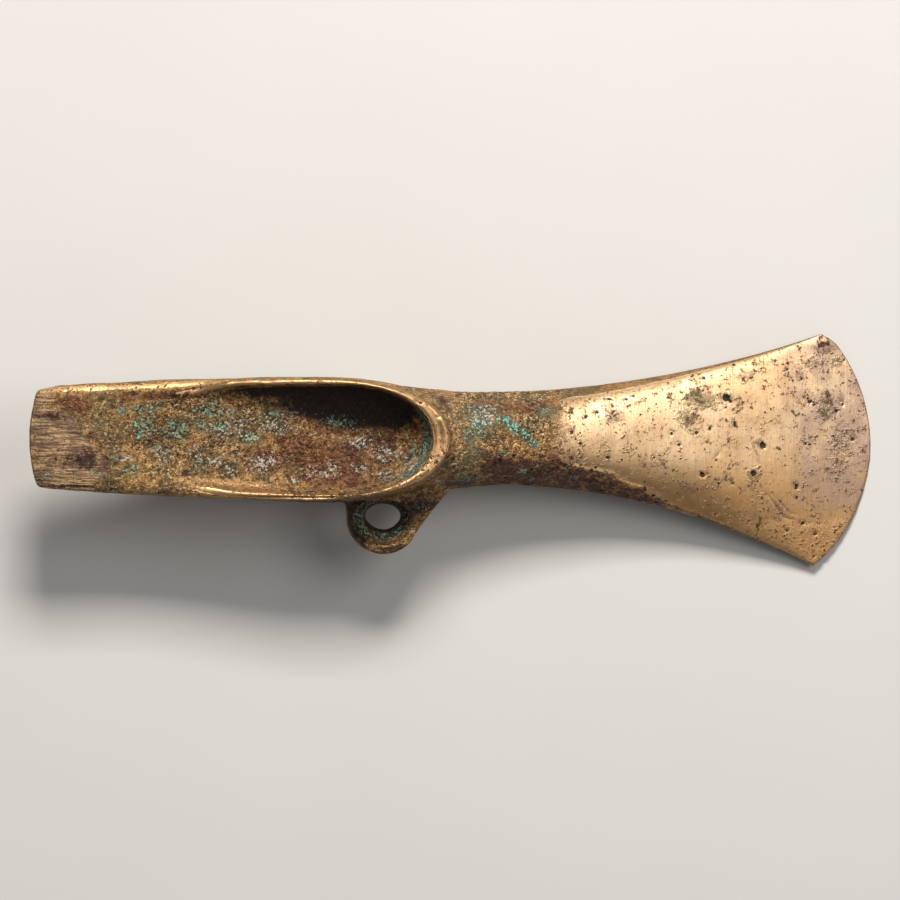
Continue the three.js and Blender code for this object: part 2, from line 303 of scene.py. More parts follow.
# Pits in the blade's upper face: x, y, radius across x, radius across y, depth
BLADE_PITS = [
    (142.7, -1.0, 0.72, 0.72, 0.75), (130.8, -6.7, 0.62, 0.58, 0.65), (140.8, -6.6, 0.7, 0.7, 0.45),
    (135.6, 8.25, 0.85, 0.8, 0.7), (136.3, 7.6, 0.5, 0.4, 0.4), (137.2, 3.1, 0.38, 0.7, 0.45),
    (132.2, 2.3, 0.4, 0.45, 0.35), (129.7, 1.5, 0.5, 0.42, 0.3), (124.8, 1.2, 0.32, 0.3, 0.3),
    (126.3, -0.8, 0.45, 0.3, 0.3), (149.2, -9.1, 0.38, 0.72, 0.5), (149.3, -11.2, 0.32, 0.36, 0.35),
    (147.4, 13.8, 0.34, 0.32, 0.35), (150.2, 11.9, 0.32, 0.3, 0.3), (152.0, 7.5, 0.6, 0.5, 0.35),
    (152.7, 7.0, 0.4, 0.3, 0.3), (151.5, 8.1, 0.3, 0.35, 0.3), (157.0, 5.75, 0.5, 0.36, 0.4),
    (158.2, 7.0, 0.4, 0.3, 0.3), (150.9, -0.6, 0.32, 0.4, 0.3), (151.8, -0.9, 0.5, 0.25, 0.25),
    (110.2, 5.3, 0.45, 0.4, 0.35), (112.6, 8.0, 0.6, 0.3, 0.3), (117.5, 8.6, 0.3, 0.3, 0.3),
    (112.4, -3.3, 0.6, 0.3, 0.3), (121.5, -3.4, 0.4, 0.3, 0.2), (134.0, -8.4, 0.4, 0.3, 0.25),
    (136.8, -8.4, 0.3, 0.26, 0.25), (141.6, -8.0, 0.3, 0.28, 0.25), (97.5, -5.9, 0.4, 0.36, 0.3),
]

# Where random pits lie thickest: x, y, reach across x and y
CORRODED_BLADE = [(113, 5.4, 3.6, 2.2), (131, 8.6, 5, 2.4), (141, 12, 5, 3), (153.5, -12.5, 2.2, 4)]
CORRODED_HAFT = [(97, 3, 6, 5), (79.5, -4, 3, 3), (104, 0, 5, 8), (20, -7.5, 6, 1.5)]
RANDOM_PITS = 600

# Cracks and cuts in the upper side: the path, half width, depth
CRACKS = [
    ([(140.3, 2.0), (140.5, -0.4), (141.3, -2.6), (142.1, -4.8)], 0.13, 0.12),
    ([(142.2, -15.5), (142.0, -17.0), (141.6, -18.4)], 0.2, 0.3),
    ([(142.7, -10.0), (144.0, -11.2), (145.3, -13.2), (146.6, -15.1), (149.0, -15.7)], 0.25, 0.08),
    ([(144.4, -10.6), (146.2, -12.4), (147.6, -14.1), (149.2, -14.6)], 0.2, 0.06),
    ([(129.3, 7.9), (130.0, 7.4), (130.9, 7.0)], 0.24, 0.35),
    ([(155.2, 9.2), (155.8, 7.7)], 0.26, 0.35),
    ([(72.0, -3.9), (73.4, -4.3), (74.3, -3.2), (74.9, -2.2)], 0.26, 0.5),
    ([(72.6, 0.2), (73.8, -1.2), (74.2, -2.6)], 0.2, 0.25),
    ([(15.0, -3.6), (15.5, -4.0), (15.9, -4.8)], 0.2, 0.3),
    ([(80.2, -2.2), (80.9, -3.1), (81.6, -3.8)], 0.2, 0.3),
    ([(134.3, -2.3), (133.2, -3.8)], 0.12, 0.1),
]

# Low ridges and folds left by the casting: the path, half width, height
FOLDS = [
    ([(56.4, -1.6), (57.0, -0.6), (57.8, 0.6)], 0.38, 0.28),
    ([(36.5, -2.6), (39.5, -1.9), (43.0, -1.0)], 0.5, 0.25),
    ([(45.0, 2.8), (52.0, 2.0), (58.0, 0.4)], 0.6, 0.12),
]

# Bumps and chips that break the crests: x, y, reach across x and y, height
NICKS = [
    (20.7, 9.0, 1.1, 0.7, -0.5), (60.3, -10.7, 0.5, 0.9, -0.55), (61.6, -10.9, 0.6, 0.8, -0.45),
    (61.0, -10.2, 0.3, 0.5, 0.25), (24.0, 9.4, 0.8, 0.5, -0.2), (75.7, 7.5, 0.7, 0.5, -0.35),
    (79.6, 4.4, 0.4, 0.3, -0.2), (46.5, 11.4, 1.2, 0.5, -0.15), (66.5, 10.4, 1.2, 0.5, -0.12),
    (52.0, -11.1, 1.6, 0.5, -0.15), (70.5, -9.6, 0.8, 0.5, -0.15), (16.2, -8.9, 1.0, 0.6, -0.3),
    (8.8, -9.0, 1.2, 0.5, -0.25), (2.0, -8.6, 0.8, 0.8, -0.3), (12.0, 9.6, 2.0, 0.6, -0.15),
    (74.0, 2.8, 0.35, 0.8, -0.55),
]


def above(skin):
    """1 on the upper side, which shows, and 0 on the underside."""
    return step(skin.own_z, -0.6, 0.8)


def in_hollow(skin):
    """1 in a hafting recess, above or below."""
    return step(rim_gap(skin.own_x, skin.y), -0.1, 0.6) * step(skin.own_x, 14, 22)


def on_butt(skin):
    """1 on the striated butt end: left of a slanting boundary, worn to a slight step."""
    line = np.interp(skin.y, *zip(*BUTT_LINE))
    return step(skin.x - line + 1.3 * Grain(41).rough(skin.points, 3.0, 3), 1.6, -1.6)


def lip_width(skin):
    """How wide the rim of the recess is: narrow along the flanges, wide round the stop."""
    return lerp(FLANGE_WIDTH[1], LIP_WIDTH, step(skin.own_x, 64, 78))


def lip_ridges(skin):
    """The ridge inside the stop end of the lip, and a weaker one outside it on the +y side."""
    share = -rim_gap(skin.own_x, skin.y) / lip_width(skin)
    inner = bell(share - 0.16, 0.16)
    outer = 0.6 * bell(share - 0.75, 0.18) * step(skin.y, -1, 3)
    groove = -0.9 * bell(share - 0.46, 0.18)
    return 0.13 * (inner + outer + groove) * step(skin.own_x, 67, 75) * step(np.abs(skin.facing), 0.4, 0.75)


def loop_rim(skin):
    """The raised rim round the loop's hole, with a furrow outside it."""
    dx, dy = skin.x - LOOP_CENTRE[0], skin.y - LOOP_CENTRE[1]
    reach = np.hypot(dx / 1.22, dy)
    near = step(skin.y, -10.6, -11.8) * step(skin.x, 90, 84)
    flat = step(np.abs(skin.facing), 0.35, 0.75)
    rim = 0.35 * step(reach, 4.9, 4.2) * step(reach, 2.9, 3.4)
    furrow = -0.5 * bell(reach - 5.3, 0.5)
    fall = -0.7 * step(reach, 5.2, 6.8)
    wall = lerp(0.85, -0.1, step(dy, -2, 2)) * step(np.abs(skin.facing), 0.75, 0.35) * step(reach, 4.6, 3.8)
    return ((rim + furrow + fall) * flat + wall) * near


def surface_height(skin):
    """How far every point of the skin stands proud of the bare casting, or below it."""
    coarse, fine, long = Grain(3), Grain(11), Grain(29)
    up = above(skin)
    hollow = in_hollow(skin)
    haft = step(skin.own_x, 84, 78)
    neck = step(skin.own_x, 76, 84) * step(skin.own_x, 108, 96)
    ground = step(skin.own_x, 96, 112)
    butt = on_butt(skin) * step(np.abs(skin.facing), 0.5, 0.8)

    height = 0.16 * coarse(skin.points, 9) * (1 - 0.55 * ground)
    height += 0.07 * fine.rough(skin.points, 2.6) * (1 - 0.75 * ground)
    crusted = hollow + 0.9 * neck + 0.35 * haft
    height += 0.075 * fine.rough(skin.points + 40, 0.9, 2) * crusted * lerp(0.6, 1, up)
    crust = np.clip(long.rough(skin.points, 1.5, 2), 0, 1)
    height += 0.12 * crust * hollow * lerp(0.5, 1, up)
    height += lip_ridges(skin) * lerp(0.6, 1, up)
    height += loop_rim(skin) * lerp(0.7, 1, up)

    # Butt striations run with the axe's length
    grooves = long(skin.points, (11, 0.62, 40)) + 0.6 * fine(skin.points, (7, 0.4, 40))
    height += butt * (0.11 * grooves - 0.12) * lerp(0.4, 1, up)

    # Hammering across the blade, and its wear
    height += ground * (0.035 * long(skin.points, (4, 9, 9)) + 0.012 * fine(skin.points, (0.8, 12, 12)))

    seen = up * step(skin.facing, 0.1, 0.5)
    for path, half, depth in CRACKS:
        distance, along = path_distance(skin.x, skin.y, path)
        distance = np.maximum(0, distance + 0.07 * fine(skin.points, 0.5))
        height -= seen * depth * bell(distance, half) * np.sin(np.pi * np.clip(along, 0.12, 0.88)) ** 0.5
    for path, half, rise in FOLDS:
        distance, along = path_distance(skin.x, skin.y, path)
        height += seen * rise * bell(distance, half) * np.sin(np.pi * along) ** 0.5
    for x, y, reach_x, reach_y, rise in NICKS:
        height += up * rise * blot(skin, x, y, reach_x, reach_y)
    return height


def scattered_pits(skin):
    """Where small random pits lie: point index, radius and depth, thick where corrosion is."""
    rng = np.random.default_rng(71)
    band = pitted_band(skin)
    density = 0.012 + 1.6 * band + 0.12 * step(skin.own_x, 112, 96)
    density += 0.3 * blots(skin, CORRODED_BLADE)
    density += 0.5 * blots(skin, CORRODED_HAFT)
    chosen = rng.choice(len(skin.x), RANDOM_PITS, replace=False, p=density / density.sum())
    radii = 0.2 + 0.26 * rng.random(len(chosen)) ** 2.5
    return [(index, radius, radius * 0.6) for index, radius in zip(chosen, radii)]


def pitted_band(skin):
    """The pitted, dark red-brown band along the lower side of the neck and blade."""
    top = np.interp(skin.x, *zip(*BAND_TOP)) + 0.9 * Grain(47).rough(skin.points, 3.4, 3)
    return step(skin.y - top, 1.0, -1.0) * step(skin.x, 83, 91) * lerp(1, 0.3, step(skin.x, 116, 134))


def pit_depths(skin):
    """How deep the pits have eaten in at each point."""
    tree = kdtree.KDTree(len(skin.points))
    for index, point in enumerate(skin.points):
        tree.insert(point, index)
    tree.balance()
    depth = np.zeros(len(skin.points))

    def eat(centre, radius_x, radius_y, deep):
        near = np.array([index for _, index, _ in tree.find_range(centre, 1.6 * max(radius_x, radius_y))])
        if len(near) == 0:
            return
        away = skin.points[near] - centre
        share = np.linalg.norm(away / (radius_x, radius_y, radius_y), axis=1)
        share = share * (1 + 0.22 * wobble[near])
        bowl = np.clip(1 - share ** 2, 0, 1) ** 0.5
        depth[near] = np.maximum(depth[near], deep * bowl)

    wobble = Grain(5)(skin.points, 0.6)
    upper = np.flatnonzero((skin.own_z > 0.1) & (skin.facing > 0.3))
    plan = np.column_stack([skin.x[upper], skin.y[upper]])
    for x, y, radius_x, radius_y, deep in BLADE_PITS:
        nearest = upper[np.argmin(np.hypot(plan[:, 0] - x, plan[:, 1] - y))]
        eat(skin.points[nearest], 0.88 * radius_x, 0.88 * radius_y, 0.9 * deep)
    for index, radius, deep in scattered_pits(skin):
        eat(skin.points[index], radius, radius, deep)
    return depth


# ---- Patina and painted shade ----

def paint_patina(skin):
    """Writes the soft masks that the bronze material reads, one attribute each."""
    cloud = Grain(107)
    up = above(skin)
    flat = step(skin.facing, -0.1, 0.4) * up
    hollow = in_hollow(skin)
    wide = cloud.rough(skin.points, 9, 3)
    outside = -rim_gap(skin.own_x, skin.y)

    smooth = skin.softened(skin.points, 6)
    bend = np.einsum("ij,ij->i", skin.points - smooth, skin.normals)
    masks = {}
    masks["wear"] = step(skin.softened(bend, 2), 0.03, 0.14)
    masks["cranny"] = step(-bend, 0.012, 0.08)

    blade = step(skin.x, 95, 108)
    haft = step(skin.own_x, 84, 80)
    loop = step(skin.y, -11.2, -12.2) * step(skin.x, 90, 84)

    green = blots(skin, GREEN_HAFT)
    wall, _ = path_distance(skin.x, skin.y, END_WALL)
    green = np.maximum(green, 1.1 * bell(wall, 1.3) * step(outside, 0.2, -0.4))
    green = np.maximum(green, blots(skin, GREEN_NECK) * 0.9)
    ring = bell(np.hypot((skin.x - LOOP_CENTRE[0]) / 1.2, skin.y - LOOP_CENTRE[1]) - 3.6, 1.3)
    web = step(skin.x, 71, 76) * step(-skin.y, 18, 15)
    green = np.maximum(green, loop * np.maximum(0.8 * ring, 0.5 * web))
    under = (1 - up) * (0.2 + 0.35 * step(wide, -0.1, 0.6))
    masks["green"] = np.maximum(green * up, under)

    streak, along = path_distance(skin.x, skin.y, STREAK)
    core = bell(streak, 0.7 + 1.3 * np.sin(np.pi * np.clip(along, 0.05, 0.95)))
    masks["bright_green"] = np.maximum(core, blots(skin, BRIGHT_GREEN)) * flat
    masks["olive"] = blots(skin, OLIVE) * np.where(skin.x > 145, 0.6, 1.0) * up

    band = pitted_band(skin)
    red = np.maximum(blots(skin, RED), 0.8 * band) * up
    masks["red"] = np.maximum(red, 0.5 * (1 - up) * step(wide, 0.5, -0.2))
    masks["tarnish"] = blots(skin, TARNISH) * flat

    flank = step(np.abs(skin.facing), 0.5, 0.1) * (1 - 0.6 * hollow)
    # Dark patina and painted shade at the foot of the rim round the stop, outside the recess
    rim_foot_crust_and_shade = step(outside, lip_width(skin) + 0.2, lip_width(skin) + 1.2) * haft * (1 - loop)
    rim_foot_crust_and_shade *= step(outside, 8, 4) * step(skin.own_x, 60, 78)
    # Painted shade: the recess's upper inner wall, facing -y, and the recess floor above a painted shadow
    # line are darkened as if shaded by the upper flange
    inner = hollow * step(-skin.normals[:, 1], 0.1, 0.7) * step(skin.own_x, 30, 44)
    shadow_line = np.interp(skin.x, *zip(*PAINTED_SHADOW_EDGE)) + 0.6 * wide
    inner = np.maximum(inner, hollow * step(skin.y, shadow_line - 1.0, shadow_line + 1.4) * step(skin.x, 36, 56))
    # Painted shade: the loop and the ring round its hole are darkened, all but the worn strap
    ring_painted_shade = loop * ring
    strap, _ = path_distance(skin.x, skin.y, STRAP)
    strap = loop * bell(strap, 1.1)
    loop_painted_shade = loop * (1 - 0.8 * strap) * 0.97
    bottom = 0.56 * hollow * step(skin.x, 46, 66)
    # One dark mask: dark crust in the pitted band and the dark blots, painted shade on the recess's upper
    # wall, round the loop and at the rim's foot, a darker deep end of the recess, and slightly darker steep
    # sides
    dark = [0.75 * band, blots(skin, DARK), 1.2 * inner, 0.4 * rim_foot_crust_and_shade, loop_painted_shade, 1.1 * ring_painted_shade, bottom]
    dark = np.maximum.reduce(dark)
    masks["dark"] = np.maximum(dark * up, 0.35 * flank)
    masks["pale"] = blots(skin, PALE) * up

    bright = blade * (1 - 0.95 * band) * step(np.abs(skin.facing), 0.4, 0.75)
    crest = step(outside, -0.5, 0.1) * step(outside, lip_width(skin) + 0.6, lip_width(skin) * 0.7)
    crest *= np.where(skin.y > 0, step(skin.own_x, 18, 34), step(skin.own_x, 24, 38)) * haft
    crest *= step(np.abs(skin.facing), 0.45, 0.8) * lerp(0.95, 0.72, step(skin.own_x, 66, 76))
    golden, along = path_distance(skin.x, skin.y, GOLDEN_STRIP)
    golden = 0.5 * bell(golden, 1.3) * np.sin(np.pi * np.clip(along, 0, 1)) ** 0.5
    shoulder, along = path_distance(skin.x, skin.y, SHOULDER)
    shoulder = 0.75 * bell(shoulder, 0.75) * up * step(along, 1, 0.5)
    polish = np.maximum.reduce([bright, crest, golden, shoulder, 0.3 * strap])
    masks["polish"] = (polish + 0.14 * wide) * lerp(0.55, 1, up)

    # Painted shade: the blade's gold is darker towards its -y side; off the blade the gold is dimmer
    # throughout
    masks["dim_gold_and_shade"] = blade * step(skin.y, 0, -12) + (1 - blade) * 0.8
    masks["mauve"] = blade * step(skin.x + 1.5 * wide, 144, 154) * step(-skin.y, 17, 10)
    rough = np.maximum.reduce([hollow, step(skin.x, 108, 98) * (1 - 0.55 * haft), band, loop])
    masks["rugged"] = rough * (1 - 0.7 * crest) * (1 - golden)
    masks["butt"] = on_butt(skin) * step(np.abs(skin.facing), 0.4, 0.7)
    for name, values in masks.items():
        attribute = skin.mesh.attributes.new(name, "FLOAT", "POINT")
        attribute.data.foreach_set("value", np.clip(values, 0, 1.2).astype(np.float32))


def work_pits_in(skin):
    """Eats the pits into the skin, and keeps how deep each point lies as an attribute."""
    depth = pit_depths(skin)
    skin.lift(-depth)
    attribute = skin.mesh.attributes.new("pit", "FLOAT", "POINT")
    attribute.data.foreach_set("value", np.clip(depth / 0.3, 0, 1).astype(np.float32))


# ---- Where the patina lies on the upper side ----
# Each blot is x, y, reach across x and y, and how far it is turned

GREEN_HAFT = [
    (21.0, 6.1, 1.7, 1.3), (18.3, 5.5, 1.3, 1.1), (23.6, 5.6, 1.3, 1.0), (21.3, 3.1, 1.2, 1.9),
    (21.3, 1.0, 1.2, 1.1), (24.5, -1.1, 1.1, 1.0), (13.2, 3.4, 1.8, 0.7), (22.8, 2.9, 3.0, 3.4),
    (32.3, 5.6, 1.6, 0.9), (36.5, 5.5, 5.0, 2.0), (36.0, 2.5, 6.0, 2.2), (29.0, 2.0, 4.5, 3.0),
    (2.5, 2.9, 1.0, 0.8), (13.0, -6.4, 1.6, 0.8), (17.0, -3.6, 1.6, 0.8), (48.0, 5.0, 5.0, 1.6),
    (15.2, -7.6, 0.8, 1.4), (20.0, -5.5, 3.0, 1.6), (33.0, -4.5, 3.0, 1.6), (60.0, 3.5, 4.0, 1.5),
    (74.6, -2.6, 1.8, 2.2), (4.0, -7.0, 1.4, 0.7), (25.0, 6.5, 3.0, 1.4), (43.0, 0.5, 4.0, 2.0),
]
GREEN_NECK = [
    (88.5, 4.6, 4.6, 3.0), (92.5, 3.0, 2.8, 2.0, -35), (92.0, -2.7, 1.6, 0.9), (88.6, 1.2, 2.6, 1.6),
    (105.5, -7.2, 0.9, 0.9), (95.9, -6.2, 1.3, 1.0), (97.8, -7.6, 0.9, 0.7), (100.2, 5.7, 2.4, 1.5),
    (84.6, -7.6, 2.2, 1.2), (140.8, -6.6, 1.1, 1.0), (135.8, 8.2, 1.4, 1.2), (157.3, 15.4, 1.5, 1.1),
    (85.0, 1.0, 1.6, 3.0), (127.0, 7.6, 0.9, 0.9),
]
END_WALL = [(75.8, 5.8), (77.4, 2.9), (77.3, -1.2), (75.8, -4.8), (73.2, -7.0)]
STREAK = [(90.8, 4.4), (93.0, 3.3), (95.0, 1.6), (96.6, 0.4), (98.4, -1.0)]
BRIGHT_GREEN = [
    (92.0, -2.7, 1.2, 0.6), (105.5, -7.2, 0.6, 0.6), (77.0, -1.8, 0.7, 2.8), (76.6, 3.4, 0.6, 1.6),
    (21.0, 3.4, 0.9, 1.6), (21.4, 0.6, 0.8, 0.9), (24.5, -1.1, 0.7, 0.6), (18.3, 5.5, 0.7, 0.6),
    (32.3, 5.6, 0.8, 0.6), (85.8, 5.9, 1.2, 1.2), (87.4, 3.2, 3.2, 2.6), (90.2, 5.4, 1.0, 1.0),
    (13.2, 3.4, 1.0, 0.4), (95.9, -6.2, 0.7, 0.6),
]
OLIVE = [
    (130.8, 7.6, 3.6, 2.0), (127.2, 4.6, 2.0, 1.6), (157.2, 15.2, 2.0, 1.6), (152.0, 15.2, 3.0, 1.6),
    (141.0, -6.6, 1.6, 1.4), (86.0, -1.0, 3.0, 7.0),
    (89.0, 4.0, 6.0, 3.4), (101.0, 5.4, 3.0, 2.0), (157.5, -2.0, 2.4, 5.0), (155.0, 6.0, 2.6, 3.0),
]
RED = [
    (60.0, -4.0, 12.0, 7.0), (68.5, -2.5, 7.0, 5.5), (52.5, -1.0, 5.0, 3.5), (99.0, 6.2, 6.5, 1.6),
    (93.0, -5.0, 7.0, 3.0), (102.0, -5.0, 4.0, 3.2), (9.0, 7.0, 4.0, 2.2), (24.0, 0.0, 2.6, 1.2),
    (46.0, -4.0, 5.0, 3.0), (62.0, -8.0, 9.0, 1.8), (90.0, 6.0, 5.0, 2.2),
    (22.0, 8.4, 7.0, 0.8), (58.0, 3.0, 5.0, 3.0),
]
TARNISH = [
    (139.5, 12.6, 5.5, 1.6, 15), (132.5, 10.4, 3.4, 1.2, 15), (128.4, 3.6, 2.0, 1.8),
    (113.0, 6.0, 3.4, 3.0), (155.0, 17.8, 2.6, 1.6), (153.0, -11.5, 1.6, 3.4),
    (145.6, -13.0, 3.0, 1.8, -35), (150.6, 8.0, 3.0, 3.0),
    (155.2, 8.4, 2.0, 3.6), (157.4, 0.5, 1.6, 5.5), (155.5, -6.8, 1.8, 2.2), (134.5, -8.2, 4.0, 1.4),
    (125.0, 10.2, 4.0, 1.2, 12), (143.0, -15.6, 2.4, 1.6), (121.0, -4.6, 5.0, 1.6, -12),
    (118.5, 7.4, 2.4, 1.2),
    (150.0, 13.4, 2.4, 2.4), (140.0, -9.2, 3.0, 1.2), (104.0, 1.5, 3.0, 5.0), (129.0, -9.6, 4.0, 1.3, -20),
    (145.5, 15.4, 4.0, 1.0, 22), (10.8, -3.2, 5.6, 2.5), (13.0, 1.0, 2.6, 1.2, -40),
]
DARK = [
    (10.5, -3.8, 6.4, 2.6), (30.2, -6.3, 1.4, 1.0), (21.0, 0.0, 1.2, 0.6), (17.1, -3.8, 1.8, 0.9),
    (84.5, -8.5, 5.0, 1.6), (73.6, -3.6, 1.5, 1.2), (7.0, -9.0, 7.0, 0.5), (29.0, 8.6, 6.0, 1.0),
    (5.0, 4.8, 3.4, 0.9), (12.6, 0.6, 1.8, 1.2), (70.5, -1.5, 2.4, 1.6), (20.9, 8.8, 0.9, 0.5),
    (66.0, 0.0, 2.0, 1.2), (80.2, 7.6, 3.0, 1.0, -40), (61.0, -10.6, 0.9, 0.5), (14.5, -0.7, 0.5, 0.5),
    (135.8, 8.3, 0.7, 0.7), (113.4, 4.6, 1.4, 0.8), (90.0, 2.6, 1.4, 0.5), (154.8, 18.4, 2.0, 0.8),
]
PALE = [
    (36.2, -4.4, 3.6, 2.4), (39.4, -5.6, 3.2, 1.8), (32.6, -2.0, 3.0, 1.8), (45.0, -4.6, 5.0, 3.0),
    (47.0, 2.6, 5.5, 2.0), (70.0, -7.0, 4.0, 1.4), (73.8, -4.6, 2.6, 2.4), (59.0, -5.4, 1.8, 2.2),
    (64.5, -5.6, 3.0, 1.4), (69.5, -2.8, 4.0, 2.2), (51.0, -8.0, 2.6, 1.0), (49.5, 2.0, 2.0, 1.2),
    (96.0, -6.4, 1.3, 0.9), (79.6, -8.2, 1.6, 1.0), (88.4, 4.4, 3.8, 2.8), (23.6, 5.8, 0.8, 0.8),
    (19.0, -3.6, 2.6, 1.2), (40.0, 2.0, 4.0, 3.0), (26.0, -3.0, 3.0, 2.4), (64.0, -0.5, 5.0, 2.0),
    (104.6, -4.8, 0.8, 0.5), (98.5, -5.0, 1.0, 0.8), (56.0, -6.5, 4.0, 1.6),
]

# Lines in plan, each by its points. The first is y with x, and the others x with y
BUTT_LINE = [
    (-9, 12.5), (-7, 14.6), (-4.7, 15.8), (-3.1, 14.6), (-0.4, 12.4), (2.4, 9.7), (5.1, 6.6), (9.5, 5.2),
]
BAND_TOP = [
    (86, -1.8), (94.6, -3.5), (103, -3.7), (109, -5.7), (117, -8.2), (122, -11), (128, -14), (134, -16.4),
]
STRAP = [(66.5, -20.6), (69.5, -20.4), (72.5, -19.4), (75.4, -17.6), (78.0, -14.6)]
# The lower edge of the painted shadow in the upper recess
PAINTED_SHADOW_EDGE = [(34, 9.0), (46, 5.8), (56, 3.0), (62, 1.4), (72, 1.2), (76, 4.0)]
GOLDEN_STRIP = [(26.0, -7.2), (34.0, -8.1), (44.0, -9.2), (52.0, -9.8)]
SHOULDER = [(2.0, 9.4), (12.0, 9.9), (22.0, 10.2), (32.0, 10.9), (42.0, 11.3), (52.0, 11.5)]


# ---- Material ----

class Value:
    """A number's socket. Used in an expression, it adds the Math nodes that work it out."""

    def __init__(self, paint, socket):
        self.paint = paint
        self.socket = socket

    def _math(self, operation, *values):
        return self.paint.add("ShaderNodeMath", {"operation": operation}, dict(enumerate(values)))

    def __add__(self, other):
        return self._math("ADD", self, other)

    def __sub__(self, other):
        return self._math("SUBTRACT", self, other)

    def __rsub__(self, other):
        return self._math("SUBTRACT", other, self)

    def __mul__(self, other):
        return self._math("MULTIPLY", self, other)

    __radd__ = __add__
    __rmul__ = __mul__

    def most(self, other):
        return self._math("MAXIMUM", self, other)

    def between(self, low, high):
        """0 below low and 1 above high, and smooth between them."""
        settings = {"interpolation_type": "SMOOTHSTEP"}
        return self.paint.add("ShaderNodeMapRange", settings, {"Value": self, 1: low, 2: high})


class Paint:
    """A material's node tree, with one method that adds any node."""

    def __init__(self, name):
        self.material = bpy.data.materials.new(name)
        self.material.use_nodes = True
        self.tree = self.material.node_tree
        self.shader = self.tree.nodes["Principled BSDF"]

    def add(self, kind, settings=None, values=None, output=0):
        node = self.tree.nodes.new(kind)
        for name, value in (settings or {}).items():
            setattr(node, name, value)
        for name, value in (values or {}).items():
            self.put(node.inputs[name], value)
        return Value(self, node.outputs[output])

    def put(self, socket, value):
        if isinstance(value, Value):
            self.tree.links.new(value.socket, socket)
        else:
            socket.default_value = value

    def mask(self, name):
        """An attribute painted on the piece."""
        return self.add("ShaderNodeAttribute", {"attribute_name": name}, output="Fac")

    def noise(self, size, detail=3.0, roughness=0.6, stretch=(1, 1, 1), twist=0.0):
        """Noise with grains of a size in millimetres, stretched along each axis, and twisted."""
        place = self.add("ShaderNodeTexCoord", output="Object")
        scale = tuple(1 / (size * MM * s) for s in stretch)
        placed = self.add("ShaderNodeMapping", None, {"Vector": place, "Scale": scale})
        values = {"Vector": placed, "Scale": 1.0, "Detail": detail, "Roughness": roughness}
        values["Distortion"] = twist
        return self.add("ShaderNodeTexNoise", {"noise_dimensions": "3D"}, values)

    def grains(self, size):
        """Rounded grains of a size in millimetres: how far from its middle, and each one's own chance."""
        place = self.add("ShaderNodeTexCoord", output="Object")
        values = {"Vector": place, "Scale": 1 / (size * MM)}
        away = self.add("ShaderNodeTexVoronoi", {"feature": "F1"}, values)
        hue = Value(self, away.socket.node.outputs["Color"])
        return away, self.add("ShaderNodeSeparateColor", None, {"Color": hue}, output="Red")

    def mix(self, share, first, second):
        """Colour first where the share is 0 and second where it is 1."""
        settings = {"data_type": "RGBA", "clamp_factor": True}
        names = {0: share, 6: first, 7: second}
        return self.add("ShaderNodeMix", settings, names, output=2)


def colour(red, green, blue):
    """A colour given as it looks, from 0 to 255, as the shader wants it."""
    def linear(part):
        part /= 255
        return part / 12.92 if part <= 0.04045 else ((part + 0.055) / 1.055) ** 2.4
    return (linear(red), linear(green), linear(blue), 1.0)


